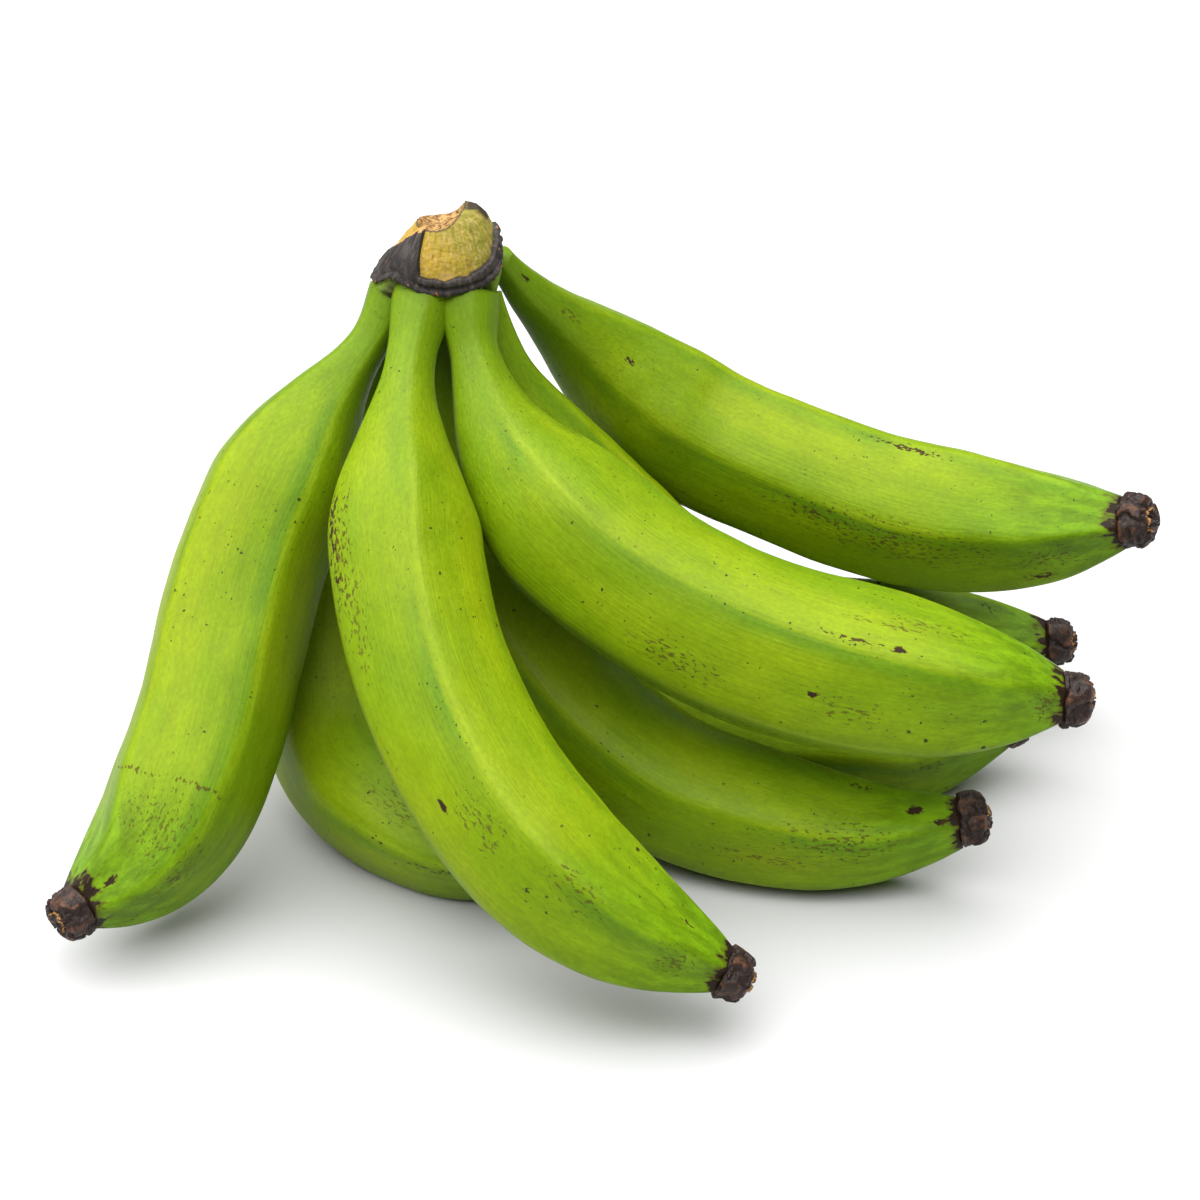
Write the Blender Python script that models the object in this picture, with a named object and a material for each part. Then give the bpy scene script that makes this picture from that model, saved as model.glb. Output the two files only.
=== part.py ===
"""A bunch of green plantains, cut from its stalk and laid down on its lower fingers.

Run it with blender --background --python part.py, or from Blender's text editor.
The scene is in metres with +Z up. Sizes below are in millimetres, and MM turns them into metres.
The eight fingers hang from one crown. Each is a fruit of its own with a dried blossom end.
"""

import math

import bmesh
import bpy
from mathutils import Matrix, Vector

MM = 0.001

# The hand frame has its zero on the floor below the crown. This moves it to the bunch's own origin.
ORIGIN_SHIFT = Vector((-55.1, 66.2, 0.0))

# Clear space left between two neighbouring pieces, and round the leathery scar.
GAP = 0.3
SCAR_GAP = 0.5

# The side of a finger from which its ridges are counted: forward and up.
FACING = Vector((0.0, -0.87, 0.5))

# A finger that reaches the floor lies along it, and its skin is pressed flat by this much.
PRESSED_FLAT = 1.6
FLOOR_EASE = 1.5

# Length at the top of each neck that is one with the crown, and length of the dried blossom end.
ROOT_LENGTH = 11.0
BLOSSOM_LENGTH = 10.0

# Plantains are five-sided. The flats lie this share inside the ridges.
# Up to NECK_FLAT_END the ridges are softer. On the floor side the skin lies LOWEST_FLAT of that
# depth inside the ridges.
RIDGE_COUNT = 5
FLAT_DEPTH = 0.075
NECK_FLAT = 0.35
NECK_FLAT_END = 0.3
LOWEST_FLAT = 0.6

# How suddenly the fruit narrows to its tip.
TIP_POWER = 2.3

FINGER_SIDES = 20
FINGER_RINGS = 27
ROOT_RINGS = 3
LINE_SAMPLES = 160
LINE_SMOOTHING = 40
DIRECTION_STEP = 0.01
SHARP_EDGE = math.radians(50.0)

# Each finger: points that its centre line runs through, its belly radius, the neck's share of that
# radius, the shares of the length where the neck ends and the belly is full, the radius of its tip,
# the share of the length where it starts to narrow, and the turn of its ridges in degrees.
FINGERS = (
    dict(line=((-16, 0, 154), (-22, -8, 142), (-39, -24, 122), (-55, -46, 97),
              (-64, -70, 73), (-71, -96, 49), (-85, -124, 28), (-110, -150, 20)),
         belly=24.2, neck=0.27, neck_end=0.07, full=0.34, tip=7.4, tip_from=0.72, ridge_turn=-30),
    dict(line=((-6, -7, 154), (-10, -26, 141), (-11.5, -54, 123), (-9, -86, 101),
              (2, -118, 78), (22, -146, 55), (52, -165, 34), (92, -172, 16)),
         belly=23.6, neck=0.34, neck_end=0.09, full=0.34, tip=7.3, tip_from=0.69, ridge_turn=-12),
    dict(line=((7, -7, 154), (10, -22, 138), (21, -43, 117), (44, -65, 99),
              (75, -83, 84.5), (111, -95, 75.5), (150, -103, 71.5), (194, -105, 69)),
         belly=26.5, neck=0.29, neck_end=0.05, full=0.35, tip=8.0, tip_from=0.70, ridge_turn=-16),
    dict(line=((13, 2, 152), (18.5, -4, 131), (33, -5, 104), (54, -4, 69.5),
              (84, 3, 39.5), (121, 7, 24), (163, 7, 21), (208, 1, 26)),
         belly=22.4, neck=0.30, neck_end=0.05, full=0.36, tip=7.5, tip_from=0.74, ridge_turn=10),
    dict(line=((16, 8.5, 161), (28, 15, 143), (48.5, 27, 118), (76, 27.5, 93.7),
              (112, 16, 81), (148, 1, 75), (184, -17, 79.5), (221, -38, 92.8)),
         belly=24.6, neck=0.26, neck_end=0.02, full=0.36, tip=8.4, tip_from=0.67, ridge_turn=15),
    dict(line=((-3, 4, 151), (-3, -2, 127), (2, -15, 93), (16, -36, 60),
              (42, -61, 35), (78, -85, 21), (122, -100, 19), (167, -103, 26)),
         belly=23.0, neck=0.28, neck_end=0.06, full=0.42, tip=8.0, tip_from=0.66, ridge_turn=5),
    dict(line=((-14, 6, 151), (-22, 6, 128), (-32, 1, 96), (-40, -15, 60),
              (-39, -45, 31), (-22, -80, 17), (11, -107, 19), (52, -119, 28)),
         belly=22.6, neck=0.28, neck_end=0.06, full=0.42, tip=7.5, tip_from=0.66, ridge_turn=25),
    dict(line=((7, 10, 151), (6, 12, 125), (8, 10, 89), (21, 0, 49),
              (48, -20, 20), (88, -41, 7), (136, -50, 10), (187, -43, 24)),
         belly=20.0, neck=0.26, neck_end=0.12, full=0.52, tip=7.0, tip_from=0.70, ridge_turn=10),
)

# The dried blossom end as a turned outline: share of its length, share of its first radius.
BLOSSOM_OUTLINE = (
    (0.00, 0.98), (0.12, 1.06), (0.26, 0.97), (0.60, 0.99), (0.82, 0.92),
    (0.94, 0.70), (0.88, 0.46), (1.02, 0.40), (1.05, 0.24),
)
BLOSSOM_SIDES = 14
KNOB_SHARE = 0.05
FINE_KNOB_SHARE = 0.03

# The crown's cushion, row by row: height, and its reach to the left, right, front and back.
CROWN_ROWS = (
    (146, 14, 12, 8, 9),
    (151, 19, 15, 12, 13),
    (157, 22, 17, 15, 15),
    (163, 18, 18, 15.5, 14),
    (169, 14, 16.5, 14, 12),
    (174, 9.5, 15.5, 11.5, 10),
    (178.5, 6.5, 13.5, 8.5, 8),
    (181, 4, 11, 6, 6),
)
CROWN_SIDES = 28
CROWN_SQUARENESS = 2.3

# The knife's scoop on top of the crown, where the hand was taken off the stalk.
SCOOP_CENTRE = Vector((-4.0, 3.0, 187.0))
SCOOP_RADII = Vector((10.5, 19.0, 14.0))
SCOOP_TILT = math.radians(-24.0)
SCOOP_SEGMENTS = 28
SCOOP_RINGS = 16

# The dried bract scar, a dark leathery collar round the crown's foot with a flap on the left.
# Each row gives an angle in degrees, from the right by the back, and the heights of both edges.
SCAR_EDGES = (
    (0, 169.0, 175.0),
    (45, 166.0, 171.5),
    (100, 162.0, 167.0),
    (150, 158.0, 164.0),
    (180, 157.0, 167.0),
    (200, 159.0, 172.0),
    (215, 162.0, 175.5),
    (228, 161.0, 177.0),
    (238, 160.0, 177.0),
    (245, 159.0, 164.3),
    (272, 157.5, 163.3),
    (300, 159.0, 164.7),
    (324, 161.0, 167.0),
    (342, 164.5, 171.0),
    (360, 169.0, 175.0),
)
SCAR_PROUD = 2.0
SCAR_SUNK = 1.5
SCAR_SEGMENTS = 54
SCAR_SECTION_SIDES = 8
SCAR_SECTION_SQUARE = 1.4

# The ring the collar is made from, before it is moved round the crown.
RING_RADIUS = 2.0
RING_THICKNESS = 1.0

# Colours as red, green, blue and alpha in linear light.
SKIN_GREEN = (0.17, 0.40, 0.015, 1.0)
CROWN_GREEN = (0.38, 0.38, 0.05, 1.0)
SCAR_BLACK = (0.030, 0.024, 0.022, 1.0)
BLOSSOM_BROWN = (0.045, 0.030, 0.020, 1.0)
SKIN_ROUGHNESS = 0.42
CROWN_ROUGHNESS = 0.6
SCAR_ROUGHNESS = 0.75
BLOSSOM_ROUGHNESS = 0.85


def clear_scene():
    """Take away whatever the scene holds at the start."""
    for old_object in list(bpy.data.objects):
        bpy.data.objects.remove(old_object, do_unlink=True)


def ease(share):
    """Rise smoothly from 0 to 1."""
    share = min(max(share, 0.0), 1.0)
    return share * share * (3.0 - 2.0 * share)


def between(low, high, share):
    """The value at a share of the way from low to high."""
    return low + (high - low) * share


class Finger:
    """One plantain finger: a centre line from the crown to the blossom end, and its section."""

    def __init__(self, line, belly, neck, neck_end, full, tip, tip_from, ridge_turn):
        self.belly = belly
        self.neck = neck
        self.neck_end = neck_end
        self.full = full
        self.tip = tip
        self.tip_from = tip_from
        self.ridge_turn = math.radians(ridge_turn)
        points = [Vector(point) for point in line]
        stride = (len(points) - 1) / LINE_SAMPLES
        self.samples = [self.curve_point(points, step * stride) for step in range(LINE_SAMPLES + 1)]
        for _ in range(LINE_SMOOTHING):
            inner = zip(self.samples, self.samples[1:], self.samples[2:])
            self.samples[1:-1] = [(before + 2 * here + after) / 4 for before, here, after in inner]
        self.marks = [0.0]
        for before, after in zip(self.samples, self.samples[1:]):
            self.marks.append(self.marks[-1] + (after - before).length)
        self.length = self.marks[-1]
        self.root_end = ROOT_LENGTH / self.length
        self.start = (ROOT_LENGTH + GAP) / self.length
        self.end = 1.0 - (BLOSSOM_LENGTH + GAP) / self.length
        self.blossom_start = 1.0 - BLOSSOM_LENGTH / self.length

    @staticmethod
    def curve_point(points, walk):
        """A point of the smooth curve that runs through the points. The walk counts them from zero."""
        index = min(int(walk), len(points) - 2)
        start, stop = points[index], points[index + 1]
        before = points[index - 1] if index > 0 else 2 * start - stop
        after = points[index + 2] if index + 2 < len(points) else 2 * stop - start
        u = walk - index
        bend = (2 * before - 5 * start + 4 * stop - after) * u**2
        swing = (3 * start - before - 3 * stop + after) * u**3
        return 0.5 * (2 * start + (stop - before) * u + bend + swing)

    def radius(self, share):
        """The section's radius at a share of the length, over its ridges."""
        swell = ease((share - self.neck_end) / (self.full - self.neck_end))
        narrowing = (share - self.tip_from) / (self.blossom_start - self.tip_from)
        narrowing = min(max(narrowing, 0.0), 1.0) ** TIP_POWER
        return between(self.belly * between(self.neck, 1.0, swell), self.tip, narrowing)

    def centre(self, share):
        """The centre line's point at a share of the length, lifted where it reaches the floor."""
        goal = share * self.length
        index = sum(1 for mark in self.marks[1:-1] if mark <= goal)
        span = self.marks[index + 1] - self.marks[index]
        point = self.samples[index].lerp(self.samples[index + 1], (goal - self.marks[index]) / span)
        lowest = self.radius(share) * (1.0 - LOWEST_FLAT * FLAT_DEPTH) - PRESSED_FLAT
        height = (point.z - lowest) / FLOOR_EASE
        lift = math.log1p(math.exp(-abs(height))) + max(height, 0.0)
        return Vector((point.x, point.y, lowest + FLOOR_EASE * lift))

    def directions(self, share):
        """Unit vectors along the line, towards its facing side, and across it."""
        ahead = self.centre(share + DIRECTION_STEP)
        along = (ahead - self.centre(share - DIRECTION_STEP)).normalized()
        face = (FACING - along * FACING.dot(along)).normalized()
        return along, face, along.cross(face)

    def ridge(self, share, angle):
        """The share of the radius left at an angle, 1 on a ridge and less on the flats."""
        turn = (angle - self.ridge_turn) * RIDGE_COUNT / math.tau
        off_ridge = abs((turn + 0.5) % 1.0 - 0.5) * 2.0
        depth = FLAT_DEPTH * between(NECK_FLAT, 1.0, ease(share / NECK_FLAT_END))
        return 1.0 - depth * (1.0 - (1.0 - off_ridge) ** 2)

    def surface(self, share, angle, grow=0.0):
        """A point of the skin, pressed flat at the floor, grown outwards if asked."""
        along, face, side = self.directions(share)
        reach = self.radius(share) * self.ridge(share, angle) + grow
        point = self.centre(share) + reach * (math.cos(angle) * face + math.sin(angle) * side)
        point.z = max(point.z, 0.0)
        return point


def place_in_bunch(point):
    """From millimetres in the hand frame to metres about the bunch's origin."""
    return (point + ORIGIN_SHIFT) * MM


def make_tube(name, sides, rings, place):
    """A capped unit cylinder cut into rings, with each vertex moved to place(ring share, angle)."""
    mesh_builder = bmesh.new()
    bmesh.ops.create_cone(
        mesh_builder, cap_ends=True, cap_tris=False, segments=sides, radius1=1.0, radius2=1.0, depth=1.0)
    uprights = [edge for edge in mesh_builder.edges if abs(edge.verts[0].co.z - edge.verts[1].co.z) > 0.5]
    bmesh.ops.subdivide_edges(mesh_builder, edges=uprights, cuts=rings - 1)
    for vertex in mesh_builder.verts:
        angle = math.atan2(vertex.co.y, vertex.co.x)
        vertex.co = place_in_bunch(place(vertex.co.z + 0.5, angle))
    mesh = bpy.data.meshes.new(name)
    mesh_builder.to_mesh(mesh)
    mesh_builder.free()
    return bpy.data.objects.new(name, mesh)


def make_material(name, colour, roughness):
    """A plain surface of one colour."""
    material = bpy.data.materials.new(name)
    material.use_nodes = True
    shader = material.node_tree.nodes["Principled BSDF"]
    shader.inputs["Base Color"].default_value = colour
    shader.inputs["Roughness"].default_value = roughness
    shader.inputs["Metallic"].default_value = 0.0
    material.diffuse_color = colour
    return material


def finish_piece(piece, collection, material, parent):
    """Put a finished piece in the bunch's collection, with its material and smooth shading."""
    collection.objects.link(piece)
    piece.data.materials.append(material)
    piece.data.shade_smooth()
    piece.data.set_sharp_from_angle(angle=SHARP_EDGE)
    piece.parent = parent


def finish_cutter(cutter, collection):
    """Put a cutter or a piece to be joined among the guides, shown as wire only."""
    collection.objects.link(cutter)
    cutter.hide_render = True
    cutter.display_type = 'WIRE'


def make_finger(name, finger):
    """The green fruit from the end of its neck to the start of its blossom end."""
    def place(share, angle):
        return finger.surface(between(finger.start, finger.end, share), angle)
    return make_tube(name, FINGER_SIDES, FINGER_RINGS, place)


def make_root(name, finger, grow):
    """The top of a neck, which is one with the crown. A grown root cuts the room round it."""
    def place(share, angle):
        return finger.surface(between(0.0, finger.root_end, share), angle, grow)
    return make_tube(name, FINGER_SIDES, ROOT_RINGS, place)


def make_blossom_end(name, finger, number):
    """The knobbly dried end: a collar, a blunt body, and a nub in a small dimple."""
    last_row = len(BLOSSOM_OUTLINE) - 1
    first_radius = finger.radius(finger.blossom_start)
    along, face, side = finger.directions(finger.end)
    root = finger.centre(finger.end) + GAP * along

    def place(share, angle):
        row = round(share * last_row)
        advance, width = BLOSSOM_OUTLINE[row]
        knob = KNOB_SHARE * math.sin(3 * angle + number)
        fine_knob = FINE_KNOB_SHARE * math.sin(5 * angle + row + 2 * number)
        reach = first_radius * width * (1.0 + knob + fine_knob)
        across = math.cos(angle) * face + math.sin(angle) * side
        return root + advance * BLOSSOM_LENGTH * along + reach * across
    return make_tube(name, BLOSSOM_SIDES, last_row, place)


def crown_reach(height, angle):
    """How far the crown's cushion reaches from its axis at a height and an angle."""
    heights = [row[0] for row in CROWN_ROWS]
    index = sum(1 for level in heights[1:-1] if level <= height)
    share = (height - heights[index]) / (heights[index + 1] - heights[index])
    left, right, front, back = (
        between(low, high, share) for low, high in zip(CROWN_ROWS[index][1:], CROWN_ROWS[index + 1][1:]))
    wide = right if math.cos(angle) > 0 else left
    deep = back if math.sin(angle) > 0 else front
    power = CROWN_SQUARENESS
    return (abs(math.cos(angle) / wide) ** power + abs(math.sin(angle) / deep) ** power) ** (-1.0 / power)


def crown_point(height, angle, grow):
    """A point of the cushion's skin, grown outwards if asked."""
    reach = crown_reach(height, angle) + grow
    return Vector((reach * math.cos(angle), reach * math.sin(angle), height))


def make_cushion(name, grow):
    """The crown's cushion, before the necks are joined to it and its top is scooped out."""
    last_row = len(CROWN_ROWS) - 1

    def place(share, angle):
        row = round(share * last_row)
        rise = grow if row == last_row else (-grow if row == 0 else 0.0)
        point = crown_point(CROWN_ROWS[row][0], angle, grow)
        point.z += rise
        return point
    return make_tube(name, CROWN_SIDES, last_row, place)


def make_scoop(name):
    """The rounded cutter that leaves the crown's concave cut."""
    mesh_builder = bmesh.new()
    bmesh.ops.create_uvsphere(
        mesh_builder, u_segments=SCOOP_SEGMENTS, v_segments=SCOOP_RINGS, radius=1.0)
    stretch = Matrix.Diagonal(SCOOP_RADII).to_4x4()
    tilt = Matrix.Rotation(SCOOP_TILT, 4, 'Y')
    bmesh.ops.transform(mesh_builder, matrix=Matrix.Translation(SCOOP_CENTRE) @ tilt @ stretch,
                        verts=mesh_builder.verts)
    for vertex in mesh_builder.verts:
        vertex.co = place_in_bunch(vertex.co)
    mesh = bpy.data.meshes.new(name)
    mesh_builder.to_mesh(mesh)
    mesh_builder.free()
    return bpy.data.objects.new(name, mesh)


def scar_edges(angle):
    """The heights of the collar's lower and upper edge at an angle."""
    degrees = math.degrees(angle) % 360.0
    index = sum(1 for row in SCAR_EDGES[1:-1] if row[0] <= degrees)
    start, stop = SCAR_EDGES[index], SCAR_EDGES[index + 1]
    share = (degrees - start[0]) / (stop[0] - start[0])
    return tuple(between(low, high, share) for low, high in zip(start[1:], stop[1:]))


def make_scar_band(name):
    """The leathery collar: a ring that follows the cushion, with a tall flap on its left."""
    bpy.ops.mesh.primitive_torus_add(
        major_segments=SCAR_SEGMENTS, minor_segments=SCAR_SECTION_SIDES,
        major_radius=RING_RADIUS, minor_radius=RING_THICKNESS)
    band = bpy.context.object
    band.name = name
    band.data.name = name
    for vertex in band.data.vertices:
        angle = math.atan2(vertex.co.y, vertex.co.x)
        outward = math.hypot(vertex.co.x, vertex.co.y) - RING_RADIUS
        low, high = scar_edges(angle)
        upward = min(max(vertex.co.z * SCAR_SECTION_SQUARE, -1.0), 1.0)
        height = between(low, high, 0.5 + 0.5 * upward)
        grow = between(-SCAR_SUNK, SCAR_PROUD, 0.5 + 0.5 * outward)
        vertex.co = place_in_bunch(crown_point(height, angle, grow))
    for collection in list(band.users_collection):
        collection.objects.unlink(band)
    return band


def add_boolean(piece, name, operation, operand):
    """A Boolean on one object or on a whole collection."""
    modifier = piece.modifiers.new(name, 'BOOLEAN')
    modifier.operation = operation
    modifier.solver = 'EXACT'
    if isinstance(operand, bpy.types.Collection):
        modifier.operand_type = 'COLLECTION'
        modifier.collection = operand
    else:
        modifier.object = operand


def main():
    clear_scene()
    scene_collection = bpy.context.scene.collection
    bunch = bpy.data.collections.new("plantain_bunch")
    roots = bpy.data.collections.new("neck_roots")
    clearances = bpy.data.collections.new("scar_clearances")
    cutters = bpy.data.collections.new("cutters")
    for collection in (bunch, roots, clearances, cutters):
        scene_collection.children.link(collection)

    skin = make_material("plantain_skin", SKIN_GREEN, SKIN_ROUGHNESS)
    crown_skin = make_material("crown_skin", CROWN_GREEN, CROWN_ROUGHNESS)
    scar_leather = make_material("dried_bract", SCAR_BLACK, SCAR_ROUGHNESS)
    blossom_bark = make_material("dried_blossom", BLOSSOM_BROWN, BLOSSOM_ROUGHNESS)

    hand = bpy.data.objects.new("hand", None)
    bunch.objects.link(hand)

    fingers = [Finger(**values) for values in FINGERS]
    for number, finger in enumerate(fingers, start=1):
        finish_piece(make_finger(f"finger_{number}", finger), bunch, skin, hand)
        finish_piece(make_blossom_end(f"blossom_end_{number}", finger, number), bunch, blossom_bark, hand)
        finish_cutter(make_root(f"root_{number}", finger, 0.0), roots)
        finish_cutter(make_root(f"root_clearance_{number}", finger, SCAR_GAP), clearances)

    scoop = make_scoop("scoop")
    finish_cutter(scoop, cutters)
    crown = make_cushion("crown", 0.0)
    add_boolean(crown, "join_necks", 'UNION', roots)
    add_boolean(crown, "scoop_cut", 'DIFFERENCE', scoop)
    finish_piece(crown, bunch, crown_skin, hand)

    finish_cutter(make_cushion("cushion_clearance", SCAR_GAP), clearances)
    scar = make_scar_band("bract_scar")
    add_boolean(scar, "fit_round_crown", 'DIFFERENCE', clearances)
    add_boolean(scar, "scoop_cut", 'DIFFERENCE', scoop)
    finish_piece(scar, bunch, scar_leather, hand)


main()
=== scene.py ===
"""Dresses a bunch of green plantains: fruit skins, dried blossom ends, cut crown, leathery scar and studio.

Lengths are in millimetres in the hand frame, whose zero is on the floor below the crown.
ORIGIN_SHIFT moves them to the bunch's own frame, and MM turns them into metres.
"""

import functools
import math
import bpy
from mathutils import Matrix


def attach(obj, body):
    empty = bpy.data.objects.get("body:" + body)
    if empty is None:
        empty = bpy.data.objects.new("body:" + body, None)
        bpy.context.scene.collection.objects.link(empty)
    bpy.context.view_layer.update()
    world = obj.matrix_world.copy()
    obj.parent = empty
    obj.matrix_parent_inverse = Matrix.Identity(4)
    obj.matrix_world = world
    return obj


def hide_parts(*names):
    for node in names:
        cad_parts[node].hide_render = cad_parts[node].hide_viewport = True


bl_info = {
    "name": "Green plantains",
    "version": (1, 0, 0),
    "blender": (4, 5, 0),
    "location": "View3D > Sidebar > Plantains",
    "description": "Dresses a bunch of green plantains with skins, blossom ends, crown, scar and studio",
    "category": "Object",
}

import bmesh
import bpy
from mathutils import Matrix, Vector, noise

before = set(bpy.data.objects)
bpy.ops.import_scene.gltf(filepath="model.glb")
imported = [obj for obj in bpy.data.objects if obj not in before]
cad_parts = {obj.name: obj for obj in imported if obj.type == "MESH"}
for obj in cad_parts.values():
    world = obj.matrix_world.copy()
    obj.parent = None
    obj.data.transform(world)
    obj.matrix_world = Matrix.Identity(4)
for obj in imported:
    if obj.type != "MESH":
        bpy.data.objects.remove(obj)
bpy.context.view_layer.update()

MM = 0.001
ORIGIN_SHIFT = Vector((-55.1, 66.2, 0.0))

# The side of a fruit from which its angles are counted: forward and up.
FACING = Vector((0.0, -0.87, 0.5))

# A fruit that reaches the floor lies along it, pressed flat by this much.
PRESSED_FLAT = 1.6
FLOOR_EASE = 1.5

# Between a fruit's skin and its blossom end.
GAP = 0.3
BLOSSOM_LENGTH = 10.0

RIDGE_COUNT = 5
RIDGE_ROUNDNESS = 0.16
RIDGE_STRAY = math.radians(7.0)
RIDGE_VARIATION = 0.7
# The flats are hollower by this share at the tip, and shallower on the neck.
TIP_GATHER = 0.9
NECK_RIDGES = 0.75
LOWEST_FLAT = 0.6
FLAT_DEPTH = 0.075
TIP_POWER = 2.3

# The skin's soft lumps: the grain of the large and the small ones, and the height of the small ones.
LARGE_LUMPS = 34.0
SMALL_LUMPS = 11.0
SMALL_LUMP_SHARE = 0.35

# The necks swell by this much where they meet under the scar, or shrink, by fruit, over this length.
SHOULDERS = {1: 1.4, 2: 2.4, 3: 2.4, 4: -2.0, 5: -1.5, 6: 1.0, 7: 1.0, 8: 1.0}
SHOULDER_LENGTH = 20.0

LINE_SAMPLES = 160
LINE_SMOOTHING = 40
DIRECTION_STEP = 0.01

# Fruit skins: columns round the fruit, a multiple of four and of the ridges, and rings along it.
SKIN_COLUMNS = 120
SKIN_RINGS = 270
SKIN_START = 0.003

# Each fruit, numbered as its CAD node: centre line, belly radius, neck and ridge turn, as in the source.
FRUITS = (
    dict(line=((-16, 0, 154), (-22, -8, 142), (-39, -24, 122), (-55, -46, 97),
              (-64, -70, 73), (-71, -96, 49), (-85, -124, 28), (-110, -150, 20)),
         belly=24.2, neck=0.27, neck_end=0.07, full=0.34, tip=7.4, tip_from=0.72, ridge_turn=-30),
    dict(line=((-6, -7, 154), (-10, -26, 141), (-11.5, -54, 123), (-9, -86, 101),
              (2, -118, 78), (22, -146, 55), (52, -165, 34), (92, -172, 16)),
         belly=23.6, neck=0.34, neck_end=0.09, full=0.34, tip=7.3, tip_from=0.69, ridge_turn=-12),
    dict(line=((7, -7, 154), (10, -22, 138), (21, -43, 117), (44, -65, 99),
              (75, -83, 84.5), (111, -95, 75.5), (150, -103, 71.5), (194, -105, 69)),
         belly=26.5, neck=0.29, neck_end=0.05, full=0.35, tip=8.0, tip_from=0.70, ridge_turn=-16),
    dict(line=((13, 2, 152), (18.5, -4, 131), (33, -5, 104), (54, -4, 69.5),
              (84, 3, 39.5), (121, 7, 24), (163, 7, 21), (208, 1, 26)),
         belly=22.4, neck=0.30, neck_end=0.05, full=0.36, tip=7.5, tip_from=0.74, ridge_turn=10),
    dict(line=((16, 8.5, 161), (28, 15, 143), (48.5, 27, 118), (76, 27.5, 93.7),
              (112, 16, 81), (148, 1, 75), (184, -17, 79.5), (221, -38, 92.8)),
         belly=24.6, neck=0.26, neck_end=0.02, full=0.36, tip=8.4, tip_from=0.67, ridge_turn=15),
    dict(line=((-3, 4, 151), (-3, -2, 127), (2, -15, 93), (16, -36, 60),
              (42, -61, 35), (78, -85, 21), (122, -100, 19), (167, -103, 26)),
         belly=23.0, neck=0.28, neck_end=0.06, full=0.42, tip=8.0, tip_from=0.66, ridge_turn=5),
    dict(line=((-14, 6, 151), (-22, 6, 128), (-32, 1, 96), (-40, -15, 60),
              (-39, -45, 31), (-22, -80, 17), (11, -107, 19), (52, -119, 28)),
         belly=22.6, neck=0.28, neck_end=0.06, full=0.42, tip=7.5, tip_from=0.66, ridge_turn=25),
    dict(line=((7, 10, 151), (6, 12, 125), (8, 10, 89), (21, 0, 49),
              (48, -20, 20), (88, -41, 7), (136, -50, 10), (187, -43, 24)),
         belly=20.0, neck=0.26, neck_end=0.12, full=0.52, tip=7.0, tip_from=0.70, ridge_turn=10),
)

# Blemishes by fruit: millimetres along it, degrees round it, length and width in mm, how broken up
# the patch is (0.4 for a clean gash, 2 and more for a scuff of streaks), and how dark.
BLEMISHES = {
    1: ((176, 35, 3, 26, 1.5, 0.8), (174, -14, 3, 24, 1.7, 0.8), (190, 0, 30, 30, 2.45, 0.6),
        (211, 4, 17, 3.4, 0.5, 1.0), (219, 7, 12, 1.8, 1.3, 0.8), (78, 80, 52, 5, 1.3, 0.9),
        (196, -44, 26, 14, 2.3, 0.6), (226, -30, 16, 12, 2.4, 0.65)),
    2: ((84, 57, 62, 6, 1.15, 0.95), (90, 53, 56, 13, 1.75, 0.8), (112, 45, 36, 14, 2.2, 0.6),
        (169, 33, 5.5, 2.6, 0.4, 1.0), (180, 16, 26, 13, 2.3, 0.7), (208, -2, 22, 14, 2.4, 0.65),
        (238, -48, 50, 2.4, 1.1, 0.95), (238, 12, 20, 14, 2.45, 0.6)),
    3: ((193, -21, 6, 3.2, 0.5, 1.0), (181, -21, 24, 2.2, 1.2, 0.9), (134, 34, 34, 12, 2.25, 0.7),
        (172, 21, 4.5, 3.0, 0.7, 1.0), (200, -52, 52, 9, 2.3, 0.6), (190, -40, 40, 3.2, 1.7, 0.7),
        (226, 80, 42, 4, 1.2, 0.95), (150, 66, 60, 6, 2.2, 0.6), (182, 28, 26, 12, 2.4, 0.6),
        (236, 14, 16, 12, 2.2, 0.7), (60, -80, 60, 3, 1.9, 0.6)),
    4: ((236, -50, 14, 4, 1.6, 0.8), (215, -20, 30, 14, 2.4, 0.6)),
    5: ((58, -13, 26, 2.8, 1.0, 0.95), (178, 33, 92, 20, 2.25, 0.75), (150, 28, 50, 7, 1.85, 0.8),
        (222, 70, 46, 4, 1.1, 0.95), (174, -50, 50, 3.2, 1.2, 0.95), (10, -24, 5, 2.6, 0.8, 1.0),
        (30, -22, 26, 5, 1.95, 0.65), (226, 45, 34, 16, 2.3, 0.65)),
    6: ((262, -31, 7, 5, 0.45, 1.0), (269, -8, 14, 3, 0.8, 1.0), (240, 10, 44, 18, 2.35, 0.7),
        (246, -55, 40, 3.5, 1.3, 0.9), (222, 40, 50, 8, 2.3, 0.6)),
    7: ((205, -8, 30, 14, 2.4, 0.5), (222, 34, 46, 4, 1.5, 0.9)),
    8: ((262, 20, 16, 8, 1.95, 0.65),),
}

# Specks on the skins: spacing and widest dot in mm, how rare they are, and how rare their crowds are.
SPECK_SIZES = (
    (1.9, 0.42, 0.38, 0.46),
    (3.6, 0.62, 0.45, 0.44),
    (8.0, 1.0, 0.58, 0.42),
)

# The dried blossom end as a turned outline: share of its length, share of its first radius.
BLOSSOM_OUTLINE = (
    (0.00, 0.97), (0.10, 1.05), (0.30, 1.03), (0.52, 0.99), (0.74, 0.88),
    (0.84, 0.66), (0.78, 0.50), (0.92, 0.42), (0.96, 0.24),
)
# Counted in rows of the outline: the two lips, where the face begins, and the ring round the nub.
FIRST_LIP = 1.0
FACE_LIP = 4.2
NUB_RING = 6.7
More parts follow.
